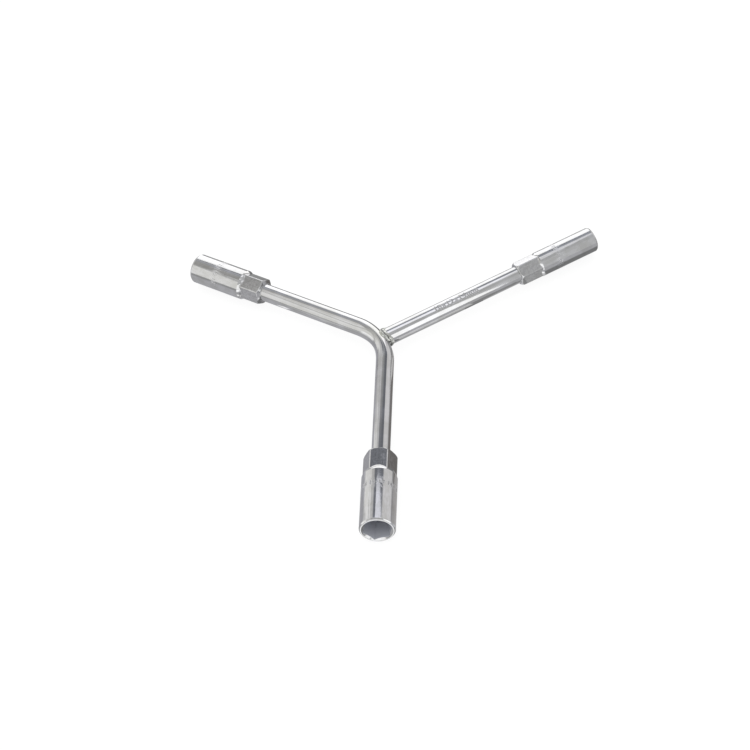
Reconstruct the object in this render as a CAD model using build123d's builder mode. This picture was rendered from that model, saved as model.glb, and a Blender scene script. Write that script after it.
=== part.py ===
# Y wrench: three deep sockets on the ends of a bent rod and of a branch rod, welded at the hub.
# Millimetres. The arms lie level, the front arm along -Y, and the wrench lies on z = 0.
import math
import os

from build123d import *

# Rods
rod_diameter = 10.0
bend_radius = 32.0  # centreline of the bend that joins the left and the front arm
bend_width_share = 0.88  # the bend is flattened in the arms' plane by the press, and a little taller
bend_height_share = 1.05
bend_steps = 4  # stretches of the bend between its drawn sections
rod_end_chamfer = 0.8
front_arm_angle = 270.0  # directions of the arms in the level plane, in degrees from +X
left_arm_angle = 150.0
right_arm_angle = 30.1
branch_offset = 0.65  # the branch rod's axis passes the hub by this much

# Reach of each arm, from the hub to the mouth of its socket
front_reach = 136.8
left_reach = 130.5
right_reach = 134.5

# Hexagons of the three sockets
large_across_flats = 14.0
medium_across_flats = 12.0
small_across_flats = 10.0

# Walls of the sockets, outside the corners of the hexagon
large_wall = 1.48
medium_wall = 1.65
small_wall = 1.43

# Lengths of the round front parts
large_barrel_length = 34.4
medium_barrel_length = 34.0
small_barrel_length = 36.2

# Lengths of the hexagonal rear parts, pressed on the rods
large_neck_length = 14.9
medium_neck_length = 13.8
small_neck_length = 13.8

# Slopes of the run-outs between the necks' flats and the barrels
large_ramp_angle = 30.0
medium_ramp_angle = 45.0
small_ramp_angle = 45.0

# Metal between the rod and the flats of each hexagonal neck
large_neck_wall = 3.05
medium_neck_wall = 2.0
small_neck_wall = 1.2

# Lengths in every socket
hexagon_depth = 18.0
seat_depth = 15.0  # how far the rod's end goes in from the rear

# Sections of every socket
nut_ledge = 0.35  # how far the round bore is inside the flats of the hexagon
countersink_margin = 0.5  # how far the countersink reaches past the corners of the hexagon
countersink_angle = 60.0  # from the arm's axis
rim_chamfer_length = 1.2
rim_chamfer_depth = 0.35
neck_corner_share = 1.132  # diameter over the neck's blunted corners, as a share of that over its flats
least_step = 0.2  # the barrel is at least this much over the neck's corners
ramp_crest_chamfer = 0.5  # softens the edge where the run-out meets the barrel
rear_chamfer_length = 1.2
rear_chamfer_depth = 1.0
press_allowance = 0.02  # by how much the rod's radius is over that of its seat

# Turn of each neck and of each hexagon about its arm, in degrees from a corner on top
large_neck_turn = 29.0
medium_neck_turn = 8.0
small_neck_turn = 6.0
large_hexagon_turn = 42.0
medium_hexagon_turn = 20.0
small_hexagon_turn = 12.0

# Weld at the hub
branch_sink = 0.8  # how far the branch rod's end reaches into the bent rod's outline
weld_toe = 2.6  # reach of the bead along the branch rod
weld_root = 4.4  # reach of the bead back over the bent rod
weld_crown = 0.6  # height of the bead over the branch rod
weld_crown_share = 0.35  # part of the bead's reach, each way, that is at its full height

overrun = 1.0  # how far a cut runs past the face that it starts on

rod_radius = rod_diameter / 2
up = Vector(0, 0, 1)
hub = Vector(0, 0, 0)


def arm_direction(angle):
    return Vector(math.cos(math.radians(angle)), math.sin(math.radians(angle)), 0)


def make_socket(
    mouth, direction, barrel_length, neck_length, ramp_angle,
    across_flats, wall, neck_wall, neck_turn, hexagon_turn,
):
    """Socket with its mouth at the given point, which faces in the arm's direction."""
    socket_length = barrel_length + neck_length
    mouth_plane = Plane(origin=mouth, x_dir=up, z_dir=direction)
    rear_plane = mouth_plane.offset(-socket_length)
    profile_plane = Plane(origin=mouth, x_dir=up, z_dir=up.cross(direction))  # x radial, y along the arm
    axis = Axis(mouth, direction)

    hexagon_corner_radius = across_flats / 2 / math.cos(math.radians(30))
    neck_flat_radius = rod_radius + neck_wall
    neck_corner_radius = neck_flat_radius * neck_corner_share
    radius = max(hexagon_corner_radius + wall, neck_corner_radius + least_step)
    ramp_length = (radius - neck_flat_radius) / math.tan(math.radians(ramp_angle))
    bore_radius = across_flats / 2 - nut_ledge
    countersink_radius = hexagon_corner_radius + countersink_margin
    countersink_depth = (countersink_radius - bore_radius) / math.tan(math.radians(countersink_angle))
    bore_depth = socket_length - seat_depth

    with BuildPart() as socket:
        # neck: a hexagonal bar with blunted corners and a chamfered rear end
        with BuildSketch(rear_plane):
            RegularPolygon(neck_flat_radius, 6, major_radius=False, rotation=neck_turn)
        extrude(amount=neck_length)
        with BuildSketch(profile_plane):
            with BuildLine():
                Polyline(
                    (0, -socket_length),
                    (neck_corner_radius - rear_chamfer_depth, -socket_length),
                    (neck_corner_radius, rear_chamfer_length - socket_length),
                    (neck_corner_radius, -barrel_length),
                    (0, -barrel_length),
                    close=True,
                )
            make_face()
        revolve(axis=axis, mode=Mode.INTERSECT)

        # barrel: round, with a cone that runs out on the neck's flats
        with BuildSketch(profile_plane) as barrel_profile:
            with BuildLine():
                Polyline(
                    (0, -barrel_length - ramp_length),
                    (neck_flat_radius, -barrel_length - ramp_length),
                    (radius, -barrel_length),
                    (radius, -rim_chamfer_length),
                    (radius - rim_chamfer_depth, 0),
                    (0, 0),
                    close=True,
                )
            make_face()
            crest = barrel_profile.vertices().sort_by_distance((radius, -barrel_length, 0))[0]
            chamfer(crest, ramp_crest_chamfer)
        revolve(axis=axis)

        # hollow: countersink, hexagon, round bore for the end of a stud, and the rod's seat
        with BuildSketch(profile_plane):
            with BuildLine():
                Polyline(
                    (0, overrun),
                    (countersink_radius, overrun),
                    (countersink_radius, 0),
                    (bore_radius, -countersink_depth),
                    (bore_radius, -bore_depth),
                    (0, -bore_depth),
                    close=True,
                )
            make_face()
        revolve(axis=axis, mode=Mode.SUBTRACT)
        with BuildSketch(mouth_plane):
            RegularPolygon(across_flats / 2, 6, major_radius=False, rotation=hexagon_turn)
        extrude(amount=-hexagon_depth, mode=Mode.SUBTRACT)
        with BuildSketch(rear_plane.offset(-overrun)):
            Circle(rod_radius - press_allowance)
        extrude(amount=seat_depth + overrun, mode=Mode.SUBTRACT)
    return socket


# Mouths of the sockets, and where the rods end inside them
front_direction = arm_direction(front_arm_angle)
left_direction = arm_direction(left_arm_angle)
right_direction = arm_direction(right_arm_angle)
branch_start = hub + right_direction.cross(up) * branch_offset
front_mouth = hub + front_direction * front_reach
left_mouth = hub + left_direction * left_reach
right_mouth = branch_start + right_direction * right_reach
front_rod_end = front_mouth - front_direction * (large_barrel_length + large_neck_length - seat_depth)
left_rod_end = left_mouth - left_direction * (medium_barrel_length + medium_neck_length - seat_depth)

# Bent rod: the left and the front arm in one piece, round up to the bend and oval in it
with BuildPart() as bent_rod:
    with BuildLine() as bent_path:
        FilletPolyline(left_rod_end, hub, front_rod_end, radius=bend_radius)
    for line in bent_path.edges().filter_by(GeomType.LINE):
        with BuildSketch(Plane(origin=line @ 0, x_dir=up, z_dir=line % 0)):
            Circle(rod_radius)
        extrude(amount=line.length)
    bend = bent_path.edges().filter_by(GeomType.CIRCLE)[0]
    for step in range(bend_steps + 1):
        squeeze = math.sin(math.pi * step / bend_steps) ** 2
        with BuildSketch(Plane(origin=bend @ (step / bend_steps), x_dir=up, z_dir=bend % (step / bend_steps))):
            Ellipse(
                rod_radius * (1 + (bend_height_share - 1) * squeeze),
                rod_radius * (1 + (bend_width_share - 1) * squeeze),
            )
    sweep(path=bend, multisection=True)
    rod_ends = bent_rod.edges().filter_by(GeomType.CIRCLE)
    chamfer(rod_ends.sort_by_distance(hub)[-2:], length=rod_end_chamfer)

# The bend's outer side crosses the branch rod's axis here
half_turn = math.radians((front_arm_angle - left_arm_angle) / 2)
bend_centre_distance = bend_radius / math.sin(half_turn)
bend_outside = bend_radius + rod_radius * bend_width_share - bend_centre_distance
branch_inner_end = bend_outside - branch_sink
branch_length = right_reach - small_barrel_length - small_neck_length + seat_depth - branch_inner_end

# Branch rod: straight, its inner end dished to the bent rod
branch_plane = Plane(origin=branch_start, x_dir=up, z_dir=right_direction)
with BuildPart() as branch_rod:
    with BuildSketch(branch_plane.offset(branch_inner_end)):
        Circle(rod_radius)
    extrude(amount=branch_length)
    branch_ends = branch_rod.edges().filter_by(GeomType.CIRCLE)
    chamfer(branch_ends.sort_by_distance(hub)[-1:], length=rod_end_chamfer)
    add(bent_rod.part, mode=Mode.SUBTRACT)

# Weld bead: a collar with sloping sides round the branch rod's end, cut to the bent rod
branch_profile_plane = Plane(origin=branch_start, x_dir=up, z_dir=up.cross(right_direction))
with BuildPart() as junction_weld:
    with BuildSketch(branch_profile_plane):
        with BuildLine():
            Polyline(
                (rod_radius, bend_outside - weld_root),
                (rod_radius + weld_crown, bend_outside - weld_root * weld_crown_share),
                (rod_radius + weld_crown, bend_outside + weld_toe * weld_crown_share),
                (rod_radius, bend_outside + weld_toe),
                close=True,
            )
        make_face()
    revolve(axis=Axis(branch_start, right_direction))
    add(bent_rod.part, mode=Mode.SUBTRACT)

socket_large = make_socket(
    front_mouth, front_direction, large_barrel_length, large_neck_length, large_ramp_angle,
    large_across_flats, large_wall, large_neck_wall, large_neck_turn, large_hexagon_turn,
)
socket_medium = make_socket(
    left_mouth, left_direction, medium_barrel_length, medium_neck_length, medium_ramp_angle,
    medium_across_flats, medium_wall, medium_neck_wall, medium_neck_turn, medium_hexagon_turn,
)
socket_small = make_socket(
    right_mouth, right_direction, small_barrel_length, small_neck_length, small_ramp_angle,
    small_across_flats, small_wall, small_neck_wall, small_neck_turn, small_hexagon_turn,
)

pieces = {
    "bent_rod": bent_rod,
    "branch_rod": branch_rod,
    "junction_weld": junction_weld,
    "socket_large": socket_large,
    "socket_medium": socket_medium,
    "socket_small": socket_small,
}

# The wrench is set down on z = 0 with the middle of its outline over the origin
box = Compound([piece.part for piece in pieces.values()]).bounding_box()
lay_down = Location((-box.center().X, -box.center().Y, -box.min.Z))
os.makedirs("parts", exist_ok=True)
for name, piece in pieces.items():
    piece.part.move(lay_down)
    piece.part.label = name
    export_step(piece.part, f"parts/{name}.step")
print("hub at", lay_down.position, "size", box.size)
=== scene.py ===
# Y wrench: three chromed sockets on a bent rod and a welded branch rod, on a pale floor
import math

import bpy
import numpy as np
from mathutils import Matrix, Vector
from mathutils.bvhtree import BVHTree


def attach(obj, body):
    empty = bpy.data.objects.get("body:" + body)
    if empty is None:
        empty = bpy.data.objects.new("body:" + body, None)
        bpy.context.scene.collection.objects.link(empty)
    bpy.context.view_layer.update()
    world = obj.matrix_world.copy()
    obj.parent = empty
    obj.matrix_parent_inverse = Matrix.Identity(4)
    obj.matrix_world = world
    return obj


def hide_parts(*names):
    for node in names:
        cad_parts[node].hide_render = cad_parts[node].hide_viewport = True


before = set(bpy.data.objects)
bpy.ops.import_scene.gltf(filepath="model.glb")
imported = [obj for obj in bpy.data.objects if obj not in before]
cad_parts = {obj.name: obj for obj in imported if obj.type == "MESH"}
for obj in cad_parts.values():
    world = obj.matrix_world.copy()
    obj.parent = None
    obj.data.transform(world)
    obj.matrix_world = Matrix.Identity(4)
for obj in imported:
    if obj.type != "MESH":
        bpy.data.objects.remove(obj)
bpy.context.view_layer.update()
print("frame loaded:", sorted(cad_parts))

mm = 0.001
up = Vector((0, 0, 1))


# One output of a node. Sums and products of these add the Math nodes
class Sock:
    def __init__(self, graph, socket):
        self.graph = graph
        self.socket = socket

    def maths(self, operation, *values):
        return self.graph.add("ShaderNodeMath", {"operation": operation}, *values)

    def __add__(self, other):
        return self.maths("ADD", self, other)

    def __radd__(self, other):
        return self.maths("ADD", other, self)

    def __sub__(self, other):
        return self.maths("SUBTRACT", self, other)

    def __rsub__(self, other):
        return self.maths("SUBTRACT", other, self)

    def __mul__(self, other):
        return self.maths("MULTIPLY", self, other)

    def __rmul__(self, other):
        return self.maths("MULTIPLY", other, self)

    def __truediv__(self, other):
        return self.maths("DIVIDE", self, other)

    def __pow__(self, other):
        return self.maths("POWER", self, other)

    def sine(self):
        return self.maths("SINE", self)

    def size(self):
        return self.maths("ABSOLUTE", self)

    def root(self):
        return self.maths("SQRT", self)

    def sign(self):
        return self.maths("SIGN", self)

    def least(self, other):
        return self.maths("MINIMUM", self, other)

    def most(self, other):
        return self.maths("MAXIMUM", self, other)


nodeGrid = {"across": 190, "down": 210, "inRow": 12}  # where the nodes stand in the editor


class Graph:
    def __init__(self, tree):
        self.tree = tree
        for node in list(tree.nodes):
            tree.nodes.remove(node)

    # Any node: its type, its settings, then values or links in the order of its sockets or by their names
    def add(self, kind, settings=None, *values, out=0, **named):
        node = self.tree.nodes.new(kind)
        row, place = divmod(len(self.tree.nodes), nodeGrid["inRow"])
        node.location = (nodeGrid["across"] * place, -nodeGrid["down"] * row)
        for setting, value in (settings or {}).items():
            setattr(node, setting, value)
        for key, value in [*enumerate(values), *named.items()]:
            if value is None:
                continue
            socket = node.inputs[key.replace("_", " ") if isinstance(key, str) else key]
            if isinstance(value, Sock):
                self.tree.links.new(value.socket, socket)
            elif isinstance(value, (int, float)) and hasattr(socket.default_value, "__len__"):
                socket.default_value = (value,) * len(socket.default_value)
            elif isinstance(value, tuple) and len(socket.default_value) == len(value) + 1:
                socket.default_value = (*value, 1)
            else:
                socket.default_value = value
        return Sock(self, node.outputs[out]) if len(node.outputs) else node

    def vector(self, operation, *values, **named):
        place = 1 if operation in ("DOT_PRODUCT", "DISTANCE") else 0
        return self.add("ShaderNodeVectorMath", {"operation": operation}, *values, out=place, **named)

    # The three numbers of a vector, and a vector of three numbers
    def split(self, vector):
        first = self.add("ShaderNodeSeparateXYZ", None, vector)
        return [Sock(self, output) for output in first.socket.node.outputs]

    def join(self, x, y, z):
        return self.add("ShaderNodeCombineXYZ", None, x, y, z)

    # 0 at start and 1 at end, smooth between
    def ease(self, value, start, end):
        return self.add("ShaderNodeMapRange", {"interpolation_type": "SMOOTHSTEP"},
                        Value=value, From_Min=start, From_Max=end, To_Min=0, To_Max=1)

    # From one colour to another. The Mix node's two colours come after five other inputs
    def blend(self, share, one, other):
        return self.add("ShaderNodeMix", {"data_type": "RGBA"}, share, *[None] * 5, one, other, out=2)

    # Keeps a value on the points, under a name that the materials read
    def store(self, geometry, name, value, kind="FLOAT"):
        return self.add("GeometryNodeStoreNamedAttribute", {"data_type": kind, "domain": "POINT"},
                        Geometry=geometry, Name=name, Value=value)

    # Keeps values on the points as they are before the next steps: rows of type, name and value
    def capture(self, geometry, *rows):
        kept = self.add("GeometryNodeCaptureAttribute", None, geometry)
        node = kept.socket.node
        for kind, name, value in rows:
            node.capture_items.new(kind, name)
        for i, (kind, name, value) in enumerate(rows):
            self.tree.links.new(value.socket, node.inputs[i + 1])
        return [kept] + [Sock(self, node.outputs[i + 1]) for i in range(len(rows))]


# Shared places, all from the solid model in millimetres and degrees
wrench = {
    "hub": (-1.5015, 31.9835, 9.5629),
    "rodRadius": 5.0,
    "frontAngle": 270.0,
    "leftAngle": 150.0,
    "rightAngle": 30.1,
    "branchOffset": 0.65,
    "frontReach": 136.8,
    "leftReach": 130.5,
    "rightReach": 134.5,
    "frontSocketLength": 49.3,
    "leftSocketLength": 47.8,
    "seatDepth": 15.0,
}
hub = Vector(wrench["hub"]) * mm


def armDirection(angle):
    return Vector((math.cos(math.radians(angle)), math.sin(math.radians(angle)), 0))


frontDirection = armDirection(wrench["frontAngle"])
leftDirection = armDirection(wrench["leftAngle"])
rightDirection = armDirection(wrench["rightAngle"])
branchStart = hub + rightDirection.cross(up) * wrench["branchOffset"] * mm


def addObject(name, data):
    made = bpy.data.objects.new(name, data)
    bpy.context.scene.collection.objects.link(made)
    return made


def addPiece(name, mesh):
    mesh.name = name
    for polygon in mesh.polygons:
        polygon.use_smooth = True
    return addObject(name, mesh)


def addGuide(name, points):
    curve = bpy.data.curves.new(name, "CURVE")
    curve.dimensions = "3D"
    spline = curve.splines.new("POLY")
    spline.points.add(len(points) - 1)
    for point, place in zip(spline.points, points):
        point.co = (*place, 1)
    return addObject(name, curve)


socketKinds = {"float": "Float", "int": "Int", "tuple": "Vector", "str": "String"}


# A tree with an input for each value of a piece's dictionary
def newTree(name, values):
    tree = bpy.data.node_groups.new(name, "GeometryNodeTree")
    tree.is_modifier = True
    tree.interface.new_socket("Geometry", in_out="INPUT", socket_type="NodeSocketGeometry")
    tree.interface.new_socket("Geometry", in_out="OUTPUT", socket_type="NodeSocketGeometry")
    for label, value in values.items():
        kind = type(value).__name__
        socketType = "NodeSocket" + socketKinds.get(kind, kind)
        socket = tree.interface.new_socket(label, in_out="INPUT", socket_type=socketType)
        if kind in socketKinds:  # an object or a material is given with the modifier only
            socket.default_value = value
    graph = Graph(tree)
    begin = graph.add("NodeGroupInput").socket.node
    return graph, {output.name: Sock(graph, output) for output in begin.outputs}


def endTree(graph, geometry, material):
    whole = graph.add("GeometryNodeRealizeInstances", None, geometry)
    coated = graph.add("GeometryNodeSetMaterial", None, whole, None, material)
    graph.add("NodeGroupOutput", None, coated)


# Runs a tree on an object and gives the result as a plain mesh object
def runTree(source, graph, values, name):
    modifier = source.modifiers.new("Shape", "NODES")
    modifier.node_group = graph.tree
    for item in graph.tree.interface.items_tree:
        if item.in_out == "INPUT" and item.name in values:
            modifier[item.identifier] = values[item.name]
    bpy.context.view_layer.update()
    evaluated = source.evaluated_get(bpy.context.evaluated_depsgraph_get())
    mesh = bpy.data.meshes.new_from_object(evaluated)
    source.modifiers.remove(modifier)
    bpy.data.objects.remove(source)
    return addPiece(name, mesh)


# Points of rings round an axis, and the same points as if the axis lay straight along x
def ringPoints(start, axis, side, along, away, angles):
    cosine = np.cos(angles)[None, :, None]
    sine = np.sin(angles)[None, :, None]
    spin = cosine * np.array(up) + sine * np.array(side)
    points = np.array(start) + along * np.array(axis) + away * spin
    return points, np.concatenate([along, away * cosine, away * sine], -1)


# The surface rolled flat, for the stamped numbers: along, round, and out from the skin many times over,
# so that only the skin is near them
def unroll(along, away, angles, radius, outWeight=40):
    turned = np.where(angles > math.pi, angles - 2 * math.pi, angles)[None, :, None]
    return np.concatenate(np.broadcast_arrays(along, -radius * turned, (away - radius) * outWeight), -1)


def storePoints(mesh, name, values):
    kind, field = ("FLOAT_VECTOR", "vector") if values.ndim == 3 else ("FLOAT", "value")
    mesh.attributes.new(name, kind, "POINT").data.foreach_set(field, values.astype(np.float32).ravel())


# A skin over rings of points. A closed loop joins the last ring to the first, and else each end gets a flat cap
def gridMesh(name, rings, closedLoop):
    ringCount, around = rings.shape[:2]
    index = np.arange(ringCount * around).reshape(ringCount, around)
    faces = []
    for i in range(ringCount if closedLoop else ringCount - 1):
        first = index[i]
        second = index[(i + 1) % ringCount]
        faces += np.stack([first, np.roll(first, -1), np.roll(second, -1), second], 1).tolist()
    if not closedLoop:
        faces += [index[0][::-1].tolist(), index[-1].tolist()]
    mesh = bpy.data.meshes.new(name)
    mesh.from_pydata(rings.reshape(-1, 3).tolist(), [], faces)
    mesh.update()
    return mesh


# Chrome, as three finishes of the same plating
chromeLook = {
    "dull": (0.55, 0.55, 0.545),
    "clear": (0.635, 0.637, 0.65),
    "stamped": (0.36, 0.36, 0.37),
    "hollow": (0.50, 0.515, 0.56),
    "drawn": (0.5, 0.5, 0.5),
    "mottled": (0.44, 0.44, 0.45),
    # Painted shade: the dark colour put into the weld bead's sunk parts and its valley
    "creviceShade": (0.16, 0.16, 0.155),
    "straw": (0.50, 0.50, 0.47),
    "violet": (0.42, 0.41, 0.475),
    "bead": (0.47, 0.48, 0.44),
    "beadTop": (0.62, 0.63, 0.6),
    # Pairs are where a pattern's part starts and where it is full
    "toneEdges": (0.38, 0.62),
    "stampEdges": (0.15, 0.9),
    "stampShare": 0.8,
    "patchEdges": (0.5, 0.8),
    "smoothest": 0.05,  # roughness of clean plate
    "lineRough": 0.05,
    "stampRough": 0.1,
    "bump": 0.35,
    "bumpReach": 2.0 * mm,
}


def chrome(name, build):
    material = bpy.data.materials.new(name)
    material.use_nodes = True
    graph = Graph(material.node_tree)
    colour, roughness, metallic, height, strength, reach = build(graph)
    bump = graph.add("ShaderNodeBump", None, Strength=strength, Distance=reach, Height=height)
    shader = graph.add("ShaderNodeBsdfPrincipled", None, Base_Color=colour, Roughness=roughness,
                       Metallic=metallic, Normal=bump)
    graph.add("ShaderNodeOutputMaterial", None, shader)
    return material


def attribute(graph, name, out=2):
    return graph.add("ShaderNodeAttribute", {"attribute_name": name}, out=out)


def noise(graph, place, scale, stretch=(1, 1, 1), detail=3.0, roughness=0.6, distortion=0.0):
    drawn = graph.add("ShaderNodeMapping", None, Vector=place, Scale=stretch)
    return graph.add("ShaderNodeTexNoise", None, Vector=drawn, Scale=scale, Detail=detail, Roughness=roughness,
                     Distortion=distortion)


# Scales of the patterns are per metre, some with a scale of their own along the rod
rodLook = {
    "lines": (60, 2600, 2600), "streaks": (14, 900, 900), "patches": 120.0, "wave": 55.0, "pits": 900.0,
    "pitEdges": (0.16, 0.05), "pitPatches": (0.5, 0.62), "pitShare": 0.25, "patchShare": 0.6,
    "heatEdges": (0.42, 0.6), "heatShare": 0.8, "patchRough": 0.06, "heatRough": 0.04,
    "lineHeight": 0.0004, "waveHeight": 0.022, "pitDepth": 0.0006,
}


def rodFinish(graph):
    plate, look = chromeLook, rodLook
    place = attribute(graph, "straight", 1)
    stamped = attribute(graph, "stamped")
    heated = attribute(graph, "heated")
    lines = noise(graph, place, 1.0, look["lines"])
    streaks = noise(graph, place, 1.0, look["streaks"], 2.0)
    patches = noise(graph, place, look["patches"], roughness=0.55)
    wave = noise(graph, place, look["wave"], detail=1.0, roughness=0.4)
    pits = graph.add("ShaderNodeTexVoronoi", None, Vector=place, Scale=look["pits"])
    specks = graph.ease(pits, *look["pitEdges"]) * graph.ease(patches, *look["pitPatches"])
    tone = graph.ease(patches * look["patchShare"] + streaks * (1 - look["patchShare"]), *plate["toneEdges"])
    colour = graph.blend(tone, plate["dull"], plate["clear"])
    dark = graph.ease(stamped, *plate["stampEdges"]) * plate["stampShare"] + specks * look["pitShare"]
    colour = graph.blend(dark, colour, plate["stamped"])
    hot = graph.blend(graph.ease(wave, *look["heatEdges"]), plate["straw"], plate["violet"])
    colour = graph.blend(heated * look["heatShare"], colour, hot)
    roughness = plate["smoothest"] + plate["lineRough"] * lines
    roughness = roughness + look["patchRough"] * graph.ease(patches, *plate["patchEdges"])
    roughness = roughness + plate["stampRough"] * stamped + look["heatRough"] * heated
    height = look["lineHeight"] * lines + look["waveHeight"] * wave - look["pitDepth"] * specks
    return colour, roughness, 1.0, height, plate["bump"], plate["bumpReach"]


socketLook = {
    "around": (3800, 90, 90), "along": (130, 1500, 1500), "smears": (160, 420, 420),
    "patches": 140.0, "wave": 70.0, "mottle": 850.0, "patchShare": 0.5,
    "drawnEdges": (0.42, 0.62), "drawnShare": 0.45, "mottleEdges": (0.46, 0.6), "mottleShare": 0.5,
    "groundEdges": (0.44, 0.58), "groundRough": 0.26, "patchRough": 0.05,
    "hollowRough": 0.22, "hollowPatchRough": 0.12, "hollowMetal": 0.45,
    "aroundHeight": 0.0004, "waveHeight": 0.012, "alongHeight": 0.0022, "mottleHeight": 0.0009, "smearHeight": 0.004,
}


def socketFinish(graph):
    plate, look = chromeLook, socketLook
    place = attribute(graph, "straight", 1)
    stamped = attribute(graph, "stamped")
    hollow = attribute(graph, "hollow")
    pressed = attribute(graph, "pressed")
    around = noise(graph, place, 1.0, look["around"])
    along = noise(graph, place, 1.0, look["along"], 2.0, 0.5, 0.8)
    patches = noise(graph, place, look["patches"], roughness=0.55)
    smears = noise(graph, place, 1.0, look["smears"], 3.0, 0.6, 1.2)
    wave = noise(graph, place, look["wave"], detail=1.0, roughness=0.4)
    mottle = noise(graph, place, look["mottle"], detail=2.0, roughness=0.5)
    tone = graph.ease(patches * look["patchShare"] + smears * (1 - look["patchShare"]), *plate["toneEdges"])
    colour = graph.blend(tone, plate["dull"], plate["clear"])
    drawn = pressed * graph.ease(along, *look["drawnEdges"]) * look["drawnShare"]
    colour = graph.blend(drawn, colour, plate["drawn"])
    mottled = pressed * graph.ease(mottle, *look["mottleEdges"]) * look["mottleShare"]
    colour = graph.blend(mottled, colour, plate["mottled"])
    dark = graph.ease(stamped, *plate["stampEdges"]) * plate["stampShare"]
    colour = graph.blend(dark, colour, plate["stamped"])
    colour = graph.blend(hollow, colour, plate["hollow"])
    ground = attribute(graph, "ground") * graph.ease(smears, *look["groundEdges"])
    roughness = plate["smoothest"] + plate["lineRough"] * around
    roughness = roughness + look["patchRough"] * graph.ease(patches, *plate["patchEdges"])
    roughness = roughness + plate["stampRough"] * stamped + look["groundRough"] * ground
    roughness = roughness + hollow * (look["hollowRough"] + look["hollowPatchRough"] * patches)
    metallic = 1 - hollow * (1 - look["hollowMetal"])
    height = look["aroundHeight"] * around * (1 - pressed) + look["waveHeight"] * wave
    height = height + pressed * (look["alongHeight"] * along + look["mottleHeight"] * mottle)
    height = height + look["smearHeight"] * smears
    return colour, roughness, metallic, height, plate["bump"], plate["bumpReach"]


weldLook = {
    # creviceShadeEdges: how deep the bead is pushed in where the painted shade starts and where it is full
    "grain": 2200.0, "patches": 420.0, "patchEdges": (0.35, 0.65), "creviceShadeEdges": (-0.05, -0.42),
    "roughness": 0.12, "grainRough": 0.12, "bump": 0.22, "bumpReach": 0.2 * mm,
}


def weldFinish(graph):
    plate, look = chromeLook, weldLook
    place = graph.add("ShaderNodeTexCoord", None, out=3)
    grain = noise(graph, place, look["grain"], detail=4.0, roughness=0.65)
    patches = noise(graph, place, look["patches"])
    colour = graph.blend(graph.ease(patches, *look["patchEdges"]), plate["bead"], plate["beadTop"])
    # Painted shade: the bead is darkened in colour where it is pushed in and along its valley
    low = graph.ease(attribute(graph, "high"), *look["creviceShadeEdges"])
    colour = graph.blend(low, colour, plate["creviceShade"])
    colour = graph.blend(attribute(graph, "valley"), colour, plate["creviceShade"])
    return colour, look["roughness"] + look["grainRough"] * grain, 1.0, grain, look["bump"], look["bumpReach"]


rodChrome = chrome("drawnRodChrome", rodFinish)
socketChrome = chrome("turnedSocketChrome", socketFinish)
weldChrome = chrome("weldBeadChrome", weldFinish)


# Bent rod: one path through the hub, round on the straights and pressed oval in the bend
halfTurn = math.radians((wrench["frontAngle"] - wrench["leftAngle"]) / 2)
frontRodReach = wrench["frontReach"] - wrench["frontSocketLength"] + wrench["seatDepth"]
leftRodReach = wrench["leftReach"] - wrench["leftSocketLength"] + wrench["seatDepth"]
frontRodEnd = hub + frontDirection * frontRodReach * mm
leftRodEnd = hub + leftDirection * leftRodReach * mm
bentRod = {
    "Rod Radius": wrench["rodRadius"] * mm,
    "Bend Radius": 32.0 * mm,
    "Path Points": 160,
    "Width Share": 0.88,
    "Height Share": 1.05,
    "End Chamfer": 0.8 * mm,
    "Ring Step": 0.75 * mm,
    "Sides": 120,
    "Weld Place": tuple(hub + rightDirection * 4 * mm + up * 3 * mm),  # where the heat tint is strongest
    "Heat Reach": 17.0 * mm,
    "Full Heat Share": 0.35,
}
bentRod["Bend Start"] = (leftRodEnd - hub).length - bentRod["Bend Radius"] / math.tan(halfTurn)
bentRod["Bend Length"] = bentRod["Bend Radius"] * (math.pi - 2 * halfTurn)


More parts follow.
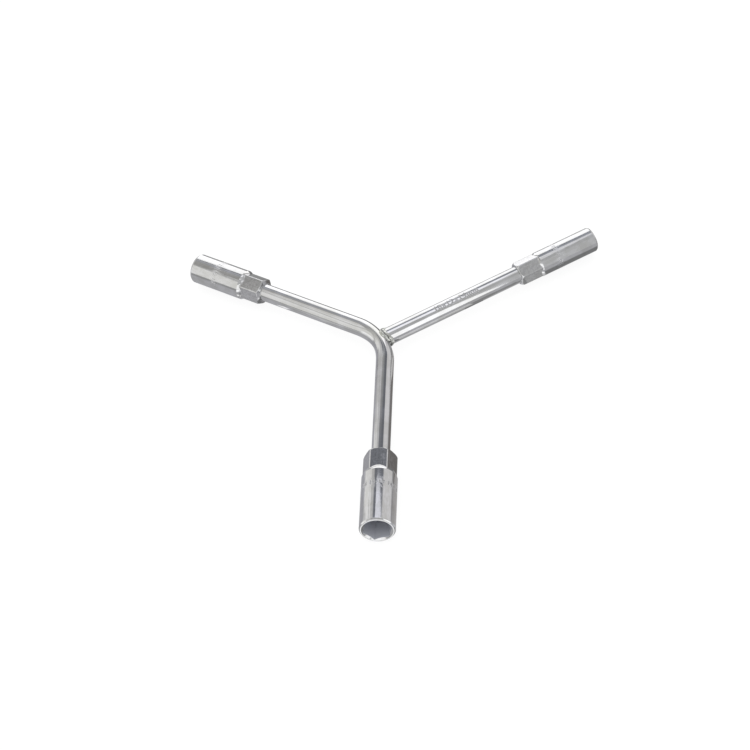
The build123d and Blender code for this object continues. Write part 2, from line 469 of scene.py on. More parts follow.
def buildBentRod():
    graph, given = newTree("Rod along its path", bentRod)
    path = graph.add("GeometryNodeFilletCurve", {"mode": "POLY"}, Curve=given["Geometry"],
                     Count=given["Path Points"], Radius=given["Bend Radius"])
    path = graph.add("GeometryNodeResampleCurve", {"mode": "LENGTH"}, Curve=path, Length=given["Ring Step"])
    along = graph.add("GeometryNodeSplineParameter", None, out=1)
    whole = graph.add("GeometryNodeSplineLength", None)
    fromEnd = along.least(whole - along)
    taper = 1 - (1 - fromEnd / given["End Chamfer"]).most(0) * given["End Chamfer"] / given["Rod Radius"]
    place = graph.add("GeometryNodeInputPosition")
    path, centre, station = graph.capture(path, ("VECTOR", "centre", place), ("FLOAT", "along", along))
    section = graph.add("GeometryNodeCurvePrimitiveCircle", None, Resolution=given["Sides"],
                        Radius=given["Rod Radius"])
    tube = graph.add("GeometryNodeCurveToMesh", None, Curve=path, Profile_Curve=section, Scale=taper,
                     Fill_Caps=True)
    bent = ((station - given["Bend Start"]) / given["Bend Length"]).most(0).least(1)
    squeeze = (bent * math.pi).sine() ** 2
    wide = 1 + (given["Width Share"] - 1) * squeeze
    tall = 1 + (given["Height Share"] - 1) * squeeze
    x, y, z = graph.split(graph.vector("SUBTRACT", place, centre))
    oval = graph.join(x * wide, y * wide, z * tall)
    tube = graph.add("GeometryNodeSetPosition", None, Geometry=tube, Position=graph.vector("ADD", centre, oval))
    # Straightened place: how far along the rod, then sideways and upwards from its axis
    cross = graph.vector("SUBTRACT", place, centre)
    x, y, z = graph.split(cross)
    outside = math.radians((wrench["leftAngle"] + wrench["frontAngle"]) / 2 - 180)
    outward = graph.vector("DOT_PRODUCT", cross, (math.cos(outside), math.sin(outside), 0))
    across = (x * x + y * y).root() * outward.sign()
    tube = graph.store(tube, "straight", graph.join(station, across, z), "FLOAT_VECTOR")
    fromWeld = graph.vector("DISTANCE", place, given["Weld Place"])
    heated = 1 - graph.ease(fromWeld, given["Heat Reach"] * given["Full Heat Share"], given["Heat Reach"])
    endTree(graph, graph.store(tube, "heated", heated), rodChrome)
    guide = addGuide("bentRodPath", [leftRodEnd, hub, frontRodEnd])
    return runTree(guide, graph, bentRod, "bentRod")


bentRodPiece = buildBentRod()
print("bent rod:", len(bentRodPiece.data.vertices), "points")


# Numbers stamped in the metal. They are laid out on the unrolled surface, which is pushed in where it is near them
numbers = {
    "Words": "0",
    "Word Size": 3.3 * mm,
    "Letter Spacing": 1.1,
    "Repeats": 1,
    "Repeat Every": 10.0 * mm,
    "Along": 0.0,
    "Around": 0.0,
    "Turned": 0.0,
    "Depth": 0.1 * mm,
    "Edge": 0.14 * mm,
    "Shade": 1.0,
    "Finish": rodChrome,
}


def stampTree():
    graph, given = newTree("Stamped numbers", numbers)
    letters = graph.add("GeometryNodeStringToCurves", {"align_x": "CENTER", "align_y": "MIDDLE"},
                        String=given["Words"], Size=given["Word Size"], Character_Spacing=given["Letter Spacing"])
    letters = graph.add("GeometryNodeRealizeInstances", None, letters)
    filled = graph.add("GeometryNodeFillCurve", None, Curve=letters)
    turned = graph.add("GeometryNodeTransform", None, Geometry=filled, Rotation=graph.join(0, 0, given["Turned"]))
    places = graph.add("GeometryNodeMeshLine", None, Count=given["Repeats"],
                       Start_Location=graph.join(given["Along"], given["Around"], 0),
                       Offset=graph.join(0, given["Repeat Every"], 0))
    words = graph.add("GeometryNodeInstanceOnPoints", None, Points=places, Instance=turned)
    words = graph.add("GeometryNodeRealizeInstances", None, words)
    unrolled = graph.add("GeometryNodeInputNamedAttribute", {"data_type": "FLOAT_VECTOR"}, Name="unrolled")
    near = graph.add("GeometryNodeProximity", {"target_element": "FACES"}, Geometry=words,
                     Sample_Position=unrolled, out=1)
    share = 1 - graph.ease(near, 0.0, given["Edge"])
    normal = graph.add("GeometryNodeInputNormal")
    moved = graph.vector("SCALE", normal, Scale=0 - share * given["Depth"])
    stamped = graph.add("GeometryNodeSetPosition", None, Geometry=given["Geometry"], Offset=moved)
    endTree(graph, graph.store(stamped, "stamped", share * given["Shade"]), given["Finish"])
    return graph


stamp = stampTree()

# Sockets: a hexagonal neck that runs out on a round barrel, with a stepped hollow.
# Lengths are in millimetres back from the mouth, and turns in degrees from a corner on top
sockets = {
    "socketLarge": {
        "node": "socket_large", "direction": frontDirection, "from": hub, "reach": wrench["frontReach"],
        "acrossFlats": 14.0, "wall": 1.48, "neckWall": 3.05, "barrel": 34.4, "neckLength": 14.9,
        "rampAngle": 30.0, "neckTurn": 29.0, "hexagonTurn": 42.0, "rearSlope": 6.0,
        "words": "14", "wordsBack": 24.8, "repeats": 12, "wordDepth": 0.17, "wordShade": 1.0,
    },
    "socketMedium": {
        "node": "socket_medium", "direction": leftDirection, "from": hub, "reach": wrench["leftReach"],
        "acrossFlats": 12.0, "wall": 1.65, "neckWall": 2.0, "barrel": 34.0, "neckLength": 13.8,
        "rampAngle": 45.0, "neckTurn": 8.0, "hexagonTurn": 20.0, "rearSlope": 2.2,
        "words": "12", "wordsBack": 17.0, "repeats": 11, "wordDepth": 0.07, "wordShade": 0.3,
    },
    "socketSmall": {
        "node": "socket_small", "direction": rightDirection, "from": branchStart, "reach": wrench["rightReach"],
        "acrossFlats": 10.0, "wall": 1.43, "neckWall": 1.2, "barrel": 36.2, "neckLength": 13.8,
        "rampAngle": 45.0, "neckTurn": 6.0, "hexagonTurn": 12.0, "rearSlope": 3.0,
        "words": "10", "wordsBack": 24.6, "repeats": 9, "wordDepth": 0.08, "wordShade": 0.35,
    },
}
everySocket = {
    "around": 480,  # points in a ring
    "hexagonDepth": 18.0, "seatRadius": 4.98, "ledge": 0.35,
    "countersinkMargin": 0.25, "countersinkAngle": 60.0, "rimLength": 0.85, "rimDepth": 0.55,
    "cornerShare": 1.132, "leastStep": 0.2, "crestChamfer": 0.5, "rearLength": 1.2, "rearDepth": 1.0,
    "rearStart": 5.5,  # radius where the rear face starts to slope forward
    # How far the surfaces are rounded into each other
    "neckRounding": 0.12, "rearRounding": 0.3, "crestRounding": 0.35, "rampRounding": 0.22, "rimRounding": 0.12,
    "holeRounding": 0.15, "holeCornerCut": 0.1,
    # Radii at the section's corners, and where the rear and the rim corner take their slope from
    "cornerRadii": {
        "seatRear": 0.15, "neckRear": 0.1, "mouthEdge": 0.2, "sinkStart": 0.08, "sinkEnd": 0.1,
        "hexagonEnd": 0.1, "boreStart": 0.1, "boreEnd": 0.12, "seatEnd": 0.1,
    },
    "cornerSteps": 4, "cornerReach": 1.8, "rearAim": 0.3, "rimAim": 0.45,
    "crestSlopeShare": 0.5,  # the crest's slope, as a share of the ramp's
    "neckStart": 2.0,  # the neck shapes the outside from this far before the barrel's end
    # Rings from the rear to the mouth: from one place and to another, each with an offset, then the step or the count
    "rings": [
        ("rear", -0.25, "rear", -1.9, -0.1), ("rear", -2.0, "rampEnd", 0.9, 7),
        ("rampEnd", 0.8, "barrel", -1.2, -0.085), ("barrel", -1.3, "words", 1.5, 4),
        ("words", 1.4, "words", -1.5, -0.1), ("words", -1.6, "mouth", 2.0, 8), ("mouth", 1.8, "mouth", 0.5, -0.15),
    ],
    "hexagonRings": (3.0, 6.0, 10.0, 14.0, 16.5), "boreRings": 4, "boreInset": 1.0,
    "groundReach": 2.375, "groundFade": 0.95,  # ground band under the numbers, to each side, and its fading edge
    "pressedFade": 1.5,
}


def softLeast(one, other, reach):
    share = np.clip(0.5 + 0.5 * (other - one) / reach, 0, 1)
    return other * (1 - share) + one * share - reach * share * (1 - share)


def softMost(one, other, reach):
    return -softLeast(-one, -other, reach)


def hexagonRadius(turn, flat, angles):
    folded = (np.degrees(angles) - turn + 30) % 60 - 30
    return flat / np.cos(np.radians(30 - np.abs(folded)))


# Rounds one corner of a section: points before, in and after it
def roundedCorner(before, corner, after, radius):
    steps = everySocket["cornerSteps"]
    reach = radius * everySocket["cornerReach"]
    toBefore = before - corner
    toAfter = after - corner
    toBefore = toBefore / np.maximum(np.linalg.norm(toBefore, axis=-1, keepdims=True), 1e-9)
    toAfter = toAfter / np.maximum(np.linalg.norm(toAfter, axis=-1, keepdims=True), 1e-9)
    first = corner + toBefore * radius
    last = corner + toAfter * radius
    row = [corner + toBefore * reach]
    for t in np.arange(steps + 1) / steps:
        row.append(first * (1 - t) ** 2 + corner * 2 * t * (1 - t) + last * t ** 2)
    row.append(corner + toAfter * reach)
    return row


# A socket's closed section at every angle, as how far back from the mouth and how far from the axis
def socketRings(spec):
    s = everySocket
    angles = (np.arange(s["around"]) / s["around"] - 0.5) * 2 * math.pi
    hexagonCorner = spec["acrossFlats"] / 2 / math.cos(math.radians(30))
    neckFlat = wrench["rodRadius"] + spec["neckWall"]
    neckCorner = neckFlat * s["cornerShare"]
    radius = max(hexagonCorner + spec["wall"], neckCorner + s["leastStep"])
    length = spec["barrel"] + spec["neckLength"]
    slope = math.tan(math.radians(spec["rampAngle"]))
    ramp = (radius - neckFlat) / slope
    bore = spec["acrossFlats"] / 2 - s["ledge"]
    sinkRadius = hexagonCorner + s["countersinkMargin"]
    boreDepth = length - wrench["seatDepth"]

    def everyWay(value):
        return np.full_like(angles, value)

    def pair(back, value):
        return np.stack(np.broadcast_arrays(back, value, angles)[:2], -1).astype(float)

    neckHexagon = hexagonRadius(spec["neckTurn"], neckFlat, angles)
    neckRound = softLeast(neckHexagon, everyWay(neckCorner), s["neckRounding"])
    hole = softLeast(hexagonRadius(spec["hexagonTurn"], spec["acrossFlats"] / 2, angles),
                     everyWay(hexagonCorner - s["holeCornerCut"]), s["holeRounding"])
    sinkBack = (sinkRadius - hole) / math.tan(math.radians(s["countersinkAngle"]))

    def outside(back):
        cone = radius - (back - spec["barrel"]) * slope
        crest = radius - s["crestSlopeShare"] * slope * max(0, back - spec["barrel"] + s["crestChamfer"])
        rim = radius - s["rimDepth"] + back * s["rimDepth"] / s["rimLength"]
        barrel = softLeast(np.array(min(cone, radius * 2)), np.array(min(radius, crest)), s["crestRounding"])
        barrel = everyWay(float(softLeast(barrel, np.array(rim), s["rimRounding"])))
        if back <= spec["barrel"] - s["neckStart"]:
            return barrel
        chamfer = neckCorner - s["rearDepth"] + (length - back) * s["rearDepth"] / s["rearLength"]
        neck = softLeast(neckRound, everyWay(chamfer), s["rearRounding"])
        face = s["rearStart"] + (length - back) * spec["rearSlope"]
        neck = softLeast(neck, everyWay(face), s["rearRounding"])
        return softMost(neck, barrel, s["rampRounding"])

    corners = {
        "seatRear": pair(length, s["seatRadius"]), "neckRear": pair(length, outside(length)),
        "mouthEdge": pair(0.0, outside(0.0)), "sinkStart": pair(0.0, sinkRadius), "sinkEnd": pair(sinkBack, hole),
        "hexagonEnd": pair(s["hexagonDepth"], hole), "boreStart": pair(s["hexagonDepth"], bore),
        "boreEnd": pair(boreDepth, bore), "seatEnd": pair(boreDepth, s["seatRadius"]),
    }
    places = {"rear": length, "rampEnd": spec["barrel"] + ramp, "barrel": spec["barrel"],
              "words": spec["wordsBack"], "mouth": 0.0}
    stations = []
    for start, startOffset, end, endOffset, step in s["rings"]:
        first, last = places[start] + startOffset, places[end] + endOffset
        stations += [*(np.linspace(first, last, step) if isinstance(step, int) else np.arange(first, last, step))]
    stations = np.unique(np.round(stations, 4))[::-1]
    boreStations = np.linspace(s["hexagonDepth"] + s["boreInset"], boreDepth - s["boreInset"], s["boreRings"])
    runs = {  # rings between a corner and the next
        "neckRear": [pair(back, outside(back)) for back in stations],
        "sinkEnd": [pair(back, hole) for back in s["hexagonRings"]],
        "boreStart": [pair(back, bore) for back in boreStations],
    }
    names = list(corners)
    section = []
    for i, name in enumerate(names):
        before = corners[names[i - 1]]
        after = corners[names[(i + 1) % len(names)]]
        if name == "neckRear":
            after = pair(length - s["rearAim"], outside(length - s["rearAim"]))
        if name == "mouthEdge":
            before = pair(s["rimAim"], outside(s["rimAim"]))
        section += roundedCorner(before, corners[name], after, s["cornerRadii"][name])
        if name == "sinkEnd":
            hollowStart = len(section) - 3  # within the corner's rounding
        section += runs.get(name, [])
    return angles, np.stack(section), radius * mm, hollowStart


def buildSocket(name, spec):
    s = everySocket
    angles, section, radius, hollowStart = socketRings(spec)
    direction = spec["direction"]
    mouth = spec["from"] + direction * spec["reach"] * mm
    backs = section[..., 0:1] * mm
    away = section[..., 1:2] * mm
    rings, straight = ringPoints(mouth, -direction, direction.cross(up), backs, away, angles)
    mesh = gridMesh(name, rings, True)
    hollow = np.zeros(section.shape[:2], np.float32)
    hollow[hollowStart:] = 1
    pressed = np.clip((backs[..., 0] / mm - spec["barrel"]) / s["pressedFade"], 0, 1) * (1 - hollow)
    fromWords = np.abs(backs[..., 0] / mm - spec["wordsBack"])
    ground = np.clip((s["groundReach"] - fromWords) / s["groundFade"], 0, 1) * (1 - hollow)
    for label, values in (("straight", straight), ("hollow", hollow), ("pressed", pressed), ("ground", ground),
                          ("unrolled", unroll(-backs, away, angles, radius))):
        storePoints(mesh, label, values)
    spacing = 2 * math.pi * radius / spec["repeats"]
    return runTree(addPiece(name + "Blank", mesh), stamp, {
        **numbers, "Words": spec["words"], "Repeats": spec["repeats"], "Repeat Every": spacing,
        "Along": -spec["wordsBack"] * mm, "Around": -math.pi * radius + spacing / 2, "Turned": math.pi / 2,
        "Depth": spec["wordDepth"] * mm, "Shade": spec["wordShade"], "Finish": socketChrome,
    }, name)


socketPieces = {}
for name, spec in sockets.items():
    socketPieces[name] = buildSocket(name, spec)
    print(name, len(socketPieces[name].data.vertices), "points")


# Branch rod: straight, its inner end dished to the bent rod. Lengths are in millimetres out from the hub
branchRod = {
    "around": 240, "end": 99.5, "chamfer": 0.8,
    "sink": 0.15,  # how far the dished end reaches into the bent rod
    "dishRings": (0.02, 0.6, 1.2, 1.8, 2.4, 3.0, 3.6, 4.2, 4.6, 4.9), "endRings": (3.0, 1.5, 0.02),
    "footEnd": 8.0, "footRings": 12, "step": 0.8, "wordStep": 0.14, "endGap": 0.2,
    "words": "10x12x14mm", "wordSize": 4.4, "letterSpacing": 1.2, "wordDepth": 0.2,
    "wordsAt": 44.5, "wordsTurn": 14.0, "wordsReach": 15.0,
}


def buildBranchRod():
    rod = branchRod
    target = BVHTree.FromObject(bentRodPiece, bpy.context.evaluated_depsgraph_get())
    angles = np.arange(rod["around"]) * 2 * math.pi / rod["around"]
    side = rightDirection.cross(up)
    radius = wrench["rodRadius"]

    # Where the bent rod is met at each angle, at some distance from the branch rod's axis
    def dish(away):
        row = []
        for angle in angles:
            way = up * math.cos(angle) + side * math.sin(angle)
            begin = branchStart + way * away * mm + rightDirection * (30 * mm)
            hit = target.ray_cast(begin, -rightDirection)
            row.append((hit[0] - branchStart).dot(rightDirection) / mm - rod["sink"])
        return np.array(row)

    rings = [(dish(away), away) for away in rod["dishRings"]]
    edge = dish(radius)
    for share in np.linspace(0, 1, rod["footRings"]):
        rings.append((edge * (1 - share) + rod["footEnd"] * share, radius))
    wordsStart = rod["wordsAt"] - rod["wordsReach"]
    wordsEnd = rod["wordsAt"] + rod["wordsReach"]
    sideEnd = rod["end"] - rod["chamfer"]
    for reach in [*np.arange(rod["footEnd"] + rod["step"], wordsStart, rod["step"]),
                  *np.arange(wordsStart, wordsEnd, rod["wordStep"]),
                  *np.arange(wordsEnd, sideEnd - rod["endGap"], rod["step"]), sideEnd]:
        rings.append((np.full_like(edge, reach), radius))
    for away in (radius - rod["chamfer"], *rod["endRings"]):
        rings.append((np.full_like(edge, rod["end"]), away))
    reach = np.stack([row[0] for row in rings])[..., None] * mm
    away = np.array([row[1] for row in rings])[:, None, None] * mm
    points, straight = ringPoints(branchStart, rightDirection, side, reach, away, angles)
    mesh = gridMesh("branchRod", points, False)
    storePoints(mesh, "straight", straight)
    storePoints(mesh, "unrolled", unroll(reach, away, angles, radius * mm))
    return runTree(addPiece("branchRod", mesh), stamp, {
        **numbers, "Words": rod["words"], "Word Size": rod["wordSize"] * mm, "Letter Spacing": rod["letterSpacing"],
        "Along": rod["wordsAt"] * mm, "Around": -radius * mm * math.radians(rod["wordsTurn"]),
        "Depth": rod["wordDepth"] * mm,
    }, "branchRod")


branchRodPiece = buildBranchRod()
print("branch rod:", len(branchRodPiece.data.vertices), "points")


# Weld bead round the branch rod's foot
weldBead = {
    "Foot Radius": 4.75 * mm,
    "Foot Points": 300,
    "Bead Height": 0.95 * mm,
    "Bead Points": 56,
    "Bead Reach": 2.0 * mm,
    "Shift": 1.3 * mm,
    "Ripples": 13.0,
    "Ripple Height": 0.10 * mm,
    "Ripple Wander": 5.0,
    "Lumps": 0.42 * mm,
    "Lump Scale": 480.0,
    "Valley Depth": 0.2 * mm,
    "Valley Place": 0.1,
    "Valley Wander": 1.6,
    "Valley Scale": 260.0,
    "Valley Floor": 0.03,
    "Valley Edge": 0.26,
    "Seed": 4.0,
    "Rod": bentRodPiece,
}


def buildWeld():
    graph, given = newTree("Weld bead", weldBead)
    rod = graph.add("GeometryNodeObjectInfo", {"transform_space": "RELATIVE"}, Object=given["Rod"], out=4)
    # A ring round the branch rod's axis, dropped on the bent rod
    foot = graph.add("GeometryNodeCurvePrimitiveCircle", None, Resolution=given["Foot Points"],
                     Radius=given["Foot Radius"])
    turn = Matrix((rightDirection.cross(up), up, rightDirection)).transposed().to_euler()
    foot = graph.add("GeometryNodeTransform", None, Geometry=foot, Rotation=tuple(turn),
                     Translation=tuple(branchStart + rightDirection * (20 * mm)))
    ray = graph.add("GeometryNodeRaycast", None, Target_Geometry=rod, Ray_Direction=tuple(-rightDirection),
                    Ray_Length=50 * mm)
    hit = Sock(graph, ray.socket.node.outputs["Hit Position"])
    foot = graph.add("GeometryNodeSetPosition", None, Geometry=foot, Position=hit)
    factor = graph.add("GeometryNodeSplineParameter", None, out=0)
    place = graph.add("GeometryNodeInputPosition")
    foot, turned, centre = graph.capture(foot, ("FLOAT", "turn", factor), ("VECTOR", "centre", place))
    profile = graph.add("GeometryNodeCurvePrimitiveCircle", None, Resolution=given["Bead Points"],
                        Radius=given["Bead Height"])
    bead = graph.add("GeometryNodeCurveToMesh", None, Curve=foot, Profile_Curve=profile)
    # The round section is drawn out along the branch rod, with a valley that wanders along its crown
    way = tuple(rightDirection)
    away = graph.vector("SUBTRACT", place, centre)
    along = graph.vector("DOT_PRODUCT", away, way)
    lean = graph.add("ShaderNodeTexNoise", {"noise_dimensions": "4D"}, Vector=place, W=given["Seed"] + 3,
                     Scale=given["Valley Scale"], Detail=1.0)
    wander = given["Valley Place"] + (lean - 0.5) * given["Valley Wander"]
    fromValley = (along / given["Bead Height"] + wander).size()
    valley = 1 - graph.ease(fromValley, given["Valley Floor"], given["Valley Edge"])
    # The valley's mask is kept for the painted shade in the weld's colour
    bead = graph.store(bead, "valley", valley)
    drawn = along * (given["Bead Reach"] / given["Bead Height"] - 1) + given["Shift"]
    bead = graph.add("GeometryNodeSetPosition", None, Geometry=bead, Offset=graph.vector("SCALE", way, Scale=drawn))
    out = graph.vector("NORMALIZE", away)
    wobble = graph.add("ShaderNodeTexNoise", {"noise_dimensions": "4D"}, Vector=place, W=given["Seed"],
                       Scale=given["Lump Scale"], Detail=2.0)
    ripple = (turned * given["Ripples"] * 2 * math.pi + wobble * given["Ripple Wander"]).sine()
    kept = graph.add("GeometryNodeInputNamedAttribute", {"data_type": "FLOAT"}, Name="valley")
    push = ripple * given["Ripple Height"] + (wobble - 0.5) * given["Lumps"] * 2 - kept * given["Valley Depth"]
    bead = graph.add("GeometryNodeSetPosition", None, Geometry=bead, Offset=graph.vector("SCALE", out, Scale=push))
    endTree(graph, graph.store(bead, "high", push / mm), weldChrome)
    holder = addObject("weldGuide", bpy.data.meshes.new("weldGuide"))
    return runTree(holder, graph, weldBead, "weldBead")


weldPiece = buildWeld()
print("weld bead:", len(weldPiece.data.vertices), "points")

# Each piece stands for its node of the solid model
for piece, node, slot in [
    (bentRodPiece, "bent_rod", "rod_chrome"), (branchRodPiece, "branch_rod", "rod_chrome"),
    (weldPiece, "junction_weld", "weld_chrome"),
] + [(socketPieces[name], spec["node"], "socket_chrome") for name, spec in sockets.items()]:
    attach(piece, "root")
    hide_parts(node)

# Floor, light and camera
floorLook = {"size": 16.0, "colour": (0.07, 0.07, 0.07), "roughness": 0.9, "glow": 0.9}


def buildFloor():
    half = floorLook["size"] / 2
    mesh = bpy.data.meshes.new("floor")
    mesh.from_pydata([(-half, -half, 0), (half, -half, 0), (half, half, 0), (-half, half, 0)], [], [(0, 1, 2, 3)])
    floor = addObject("floor", mesh)
    material = bpy.data.materials.new("floorPaper")
    material.use_nodes = True
    graph = Graph(material.node_tree)
    paper = graph.add("ShaderNodeBsdfPrincipled", None, Base_Color=floorLook["colour"],
                      Roughness=floorLook["roughness"], Emission_Color=(1, 1, 1),
                      Emission_Strength=floorLook["glow"])
    graph.add("ShaderNodeOutputMaterial", None, paper)
    mesh.materials.append(material)
    floor.visible_glossy = False  # the chrome mirrors the tent's table in its place


pale = (0.99, 0.995, 1.0)
cool = (0.9, 0.94, 1.06)
# Brightness and tint of each part of the tent
tentLook = {
    "rightWall": (0.69, pale),
    "leftWall": (0.72, (1.0, 0.995, 0.97)),
    "farLeft": (0.70, (1.0, 0.99, 1.0)),
    "farRight": (0.86, (1.0, 0.985, 0.985)),
    "roof": (0.60, pale),
    "farRoof": (0.47, cool),
    "leftRoof": (0.60, (0.79, 0.78, 0.76)),
    "farLeftRoof": (0.60, (1.05, 1.05, 1.05)),
    "darkSeam": (0.22, cool),
    "paleSeam": (0.45, pale),
    "lowSeam": (0.25, cool),
    "table": (0.57, (1.0, 1.0, 1.03)),
    "leftTable": (0.57, (0.86, 0.86, 0.91)),
    "shadedTable": (0.23, (1.03, 0.97, 0.94)),
    "lowTable": (0.27, pale),
    "frontTable": (1.45, pale),
    "tableEdge": (0.42, pale),
    "farTableLeft": (0.6, pale),
    "farTableRight": (0.25, pale),
    "leftHorizon": (1.15, pale),
}
# Where each part is, by direction: x to the right, y away, z up, seam x from the seam's middle.
# An edge runs from 0 at its first number to 1 at its second, and a part's edges are multiplied
tentEdges = {
    "farRight": [("x", -0.1, 0.45)],
    "far": [("y", 0.35, 0.6)],
    "farRoof": [("y", 0.36, 0.46)],
    "farLeftRoof": [("y", 0.36, 0.56)],
    "roof": [("z", 0.74, 0.84)],
    "leftWall": [("x", -0.2, -0.5), ("y", 0.75, 0.5), ("z", 0.82, 0.7)],
    "leftRoofPart": [("x", -0.25, -0.5), ("z", 0.74, 0.82)],
    "seam": [("y", 0.585, 0.615), ("y", 0.8, 0.74), ("z", 0.57, 0.63), ("seam x", 0.42, 0.31)],
    "darkSeam": [("x", -0.2, 0.26)],
    "highSeam": [("y", 0.645, 0.665)],
    "farShade": [("x", 0.3, 0.6), ("y", 0.1, 0.5), ("z", -0.7, -0.55)],
    "farShadeEnd": [("z", -0.32, -0.08)],
    "lowShade": [("x", -0.08, 0.3), ("y", 0.55, 0.64), ("z", -0.4, -0.6)],
    "nearShade": [("x", 0.02, 0.18), ("z", -0.5, -0.68), ("y", 0.6, 0.44)],
    "nearShadeGap": [("y", 0.14, 0.22), ("x", 0.42, 0.55)],
    "leftTable": [("x", -0.05, -0.35), ("y", 0.0, 0.3)],
    "tableEdge": [("z", -0.34, -0.22), ("x", -0.4, -0.7), ("y", 0.1, -0.2)],
    "frontPart": [("y", -0.42, -0.56), ("y", -0.72, -0.65), ("x", 0.08, -0.06)],
    "frontEdge": [("y", -0.76, -0.84), ("z", -0.45, -0.3), ("x", 0.28, 0.2)],
    "frontLimit": [("x", -0.48, -0.34)],
    "frontCorner": [("x", 0.33, 0.39), ("x", 0.64, 0.56), ("y", -0.72, -0.78), ("z", -0.5, -0.42)],
    "farTableRight": [("x", -0.12, 0.02)],
    "farTable": [("y", 0.72, 0.8)],
    "aboveTable": [("z", -0.09, -0.03)],
    "leftHorizon": [("x", -0.82, -0.92), ("z", -0.32, -0.1), ("z", 0.26, 0.06), ("y", -0.4, -0.28), ("y", 0.34, 0.2)],
}
seamMiddle = 0.05
farShadeFade = 0.8


# Walls, roof and table of a light tent, painted by direction
def buildWorld():
    world = bpy.data.worlds.new("lightTent")
    bpy.context.scene.world = world
    world.use_nodes = True
    graph = Graph(world.node_tree)
    blend = graph.blend
    x, y, z = graph.split(graph.vector("NORMALIZE", graph.add("ShaderNodeTexCoord", None, out=0)))
    axes = {"x": x, "y": y, "z": z, "seam x": (x - seamMiddle).size()}

    def tone(name):
        brightness, tint = tentLook[name]
        return tuple(brightness * part for part in tint)

    def inside(name):
        edges = [graph.ease(axes[axis], start, end) for axis, start, end in tentEdges[name]]
        return math.prod(edges[1:], start=edges[0])

    def paint(base, name):
        return blend(inside(name), base, tone(name))

    far = paint(tone("farLeft"), "farRight")
    roof = paint(tone("roof"), "farRoof")
    leftRoof = paint(tone("leftRoof"), "farLeftRoof")
    sky = blend(inside("far"), tone("rightWall"), far)
    sky = paint(blend(inside("roof"), sky, roof), "leftWall")
    sky = blend(inside("leftRoofPart"), sky, leftRoof)
    seam = blend(inside("highSeam"), tone("lowSeam"), paint(tone("paleSeam"), "darkSeam"))
    sky = blend(inside("seam"), sky, seam)
    farShade = (inside("farShade") * (1 - farShadeFade * inside("farShadeEnd"))).most(inside("lowShade"))
    table = blend(farShade, tone("table"), tone("shadedTable"))
    table = blend(inside("nearShade") * (1 - inside("nearShadeGap")), table, tone("lowTable"))
    table = paint(paint(table, "leftTable"), "tableEdge")
    front = inside("frontPart").most(inside("frontEdge")) * inside("frontLimit")
    table = blend(front.most(inside("frontCorner")), table, tone("frontTable"))
    table = blend(inside("farTable"), table, paint(tone("farTableLeft"), "farTableRight"))
    sky = paint(blend(inside("aboveTable"), table, sky), "leftHorizon")
    light = graph.add("ShaderNodeBackground", None, Color=sky, Strength=1.0)
    graph.add("ShaderNodeOutputWorld", None, light)


# Soft boxes round the wrench, in millimetres: middle, the point each faces, width, height, brightness, tint
softBoxes = {
    "farBox": ((-37, 300, 124), (-37, 0, 124), 325, 233, 1.0, (1, 1, 1)),
    "farHighBox": ((-50, 300, 273), (-50, 0, 273), 140, 64, 0.6, (1, 1, 1)),
    "roofBox": ((55, 141, 380), (55, 141, 0), 230, 155, 0.84, (0.97, 0.97, 1.03)),
    "roofRightBox": ((205, 148, 380), (205, 148, 0), 70, 165, 0.42, (0.97, 0.97, 1.03)),
    "roofLeftBox": ((-245, 37, 380), (-245, 37, 0), 110, 195, 0.46, (1, 0.99, 0.97)),
    "rightBox": ((300, -225, 195), (0, -225, 195), 150, 360, 0.95, (1, 1, 1)),
    "leftBox": ((-300, -20, 117), (0, -20, 117), 250, 218, 0.33, (1, 0.995, 0.96)),
    "leftNearBox": ((-300, -162, 78), (0, -162, 78), 165, 170, 0.5, (1, 0.995, 0.96)),
    "leftAwayBox": ((-300, 180, 108), (0, 180, 108), 84, 214, 0.36, (1, 0.995, 0.96)),
    "leftHighBox": ((-300, -32, 335), (0, -32, 335), 235, 90, 0.4, (1, 0.995, 0.96)),
    "leftFarBox": ((-300, 247, 250), (0, 247, 250), 88, 200, 0.3, (1, 0.995, 0.96)),
    "frontBox": ((0, -400, 150), (0, 0, 150), 500, 300, 0.8, (1, 1, 1)),
    "rimBox": ((60, -45, 380), (60, -45, 0), 170, 46, 0.8, (1, 1, 1)),
}

# Patches of light just over the table, in millimetres and degrees: middle, width, height, turn, brightness
tablePatches = {
    "branchNear": ((34.3, 34.1, 0.2), 48, 13, 30.1, 0.5),
    "branchUnder": ((23.4, 40.8, 0.2), 48, 8, 30.1, 0.24),
    "branchFar": ((67.4, 58.5, 0.2), 34, 8, 30.1, 0.1),
    "branchFarUnder": ((66.4, 66.2, 0.2), 28, 7, 30.1, 0.28),
    "rightNeck": ((85.9, 68.6, 0.2), 16, 13, 30.1, 0.26),
    "leftRod": ((-88, 8, 0.2), 84, 70, 0.0, 0.2),
    "leftNeckEnd": ((-68, 60.5, 0.2), 7, 6, 0.0, 0.7),
    "frontSocket": ((30, -78, 0.2), 40, 58, 0.0, 0.24),
}
floorLamp = {"spread": 100.0, "strength": 3.0}


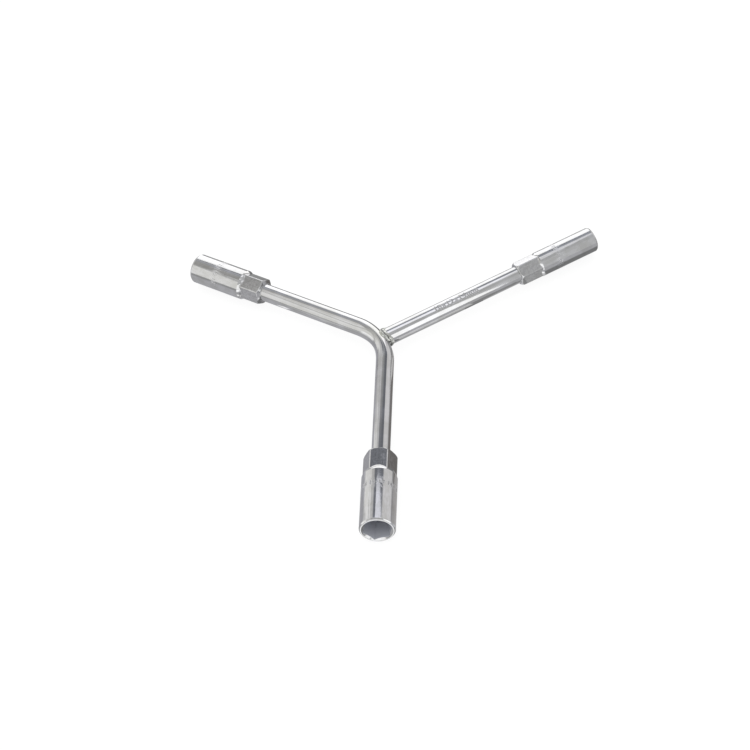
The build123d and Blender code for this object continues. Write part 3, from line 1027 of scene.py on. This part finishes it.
def softLight(name, middle, width, height, brightness):
    data = bpy.data.lights.new(name, "AREA")
    data.shape = "RECTANGLE"
    data.size = width * mm
    data.size_y = height * mm
    data.energy = brightness * math.pi * data.size * data.size_y
    light = addObject(name, data)
    light.location = Vector(middle) * mm
    light.visible_camera = False
    return light


def buildLights():
    for name, (middle, facing, width, height, brightness, tint) in softBoxes.items():
        box = softLight(name, middle, width, height, brightness)
        box.data.color = tint
        box.rotation_euler = (Vector(facing) - Vector(middle)).to_track_quat("-Z", "Y").to_euler()
    for name, (middle, width, height, turn, brightness) in tablePatches.items():
        patch = softLight(name, middle, width, height, brightness)
        patch.rotation_euler = (math.pi, 0, math.radians(turn))
    # A wide soft lamp that only whitens the floor
    data = bpy.data.lights.new("floorLamp", "SUN")
    data.angle = math.radians(floorLamp["spread"])
    data.energy = floorLamp["strength"]
    addObject("floorLamp", data).visible_glossy = False


cameraPlace = {
    "lens": 96, "sensor": 36, "azimuth": 10.2081, "elevation": 46.8426, "roll": -11.0158,
    "target": (-5.1709, -28.5954, 0),  # from the hub
    "distance": 1096.545,
}


def buildCamera():
    data = bpy.data.cameras.new("camera")
    data.lens = cameraPlace["lens"]
    data.sensor_width = cameraPlace["sensor"]
    camera = addObject("camera", data)
    azimuth, elevation, roll = (math.radians(cameraPlace[key]) for key in ("azimuth", "elevation", "roll"))
    back = Vector((math.sin(azimuth) * math.cos(elevation), -math.cos(azimuth) * math.cos(elevation),
                   math.sin(elevation)))
    right = (-back).cross(up).normalized()
    above = right.cross(-back)
    rolledRight = right * math.cos(roll) + above * math.sin(roll)
    rolledUp = above * math.cos(roll) - right * math.sin(roll)
    matrix = Matrix((rolledRight, rolledUp, back)).transposed().to_4x4()
    matrix.translation = hub + Vector(cameraPlace["target"]) * mm + back * (cameraPlace["distance"] * mm)
    camera.matrix_world = matrix
    bpy.context.scene.camera = camera


buildFloor()
buildWorld()
buildLights()
buildCamera()
bpy.context.scene.view_settings.view_transform = "Standard"
print("floor, light and camera are set")
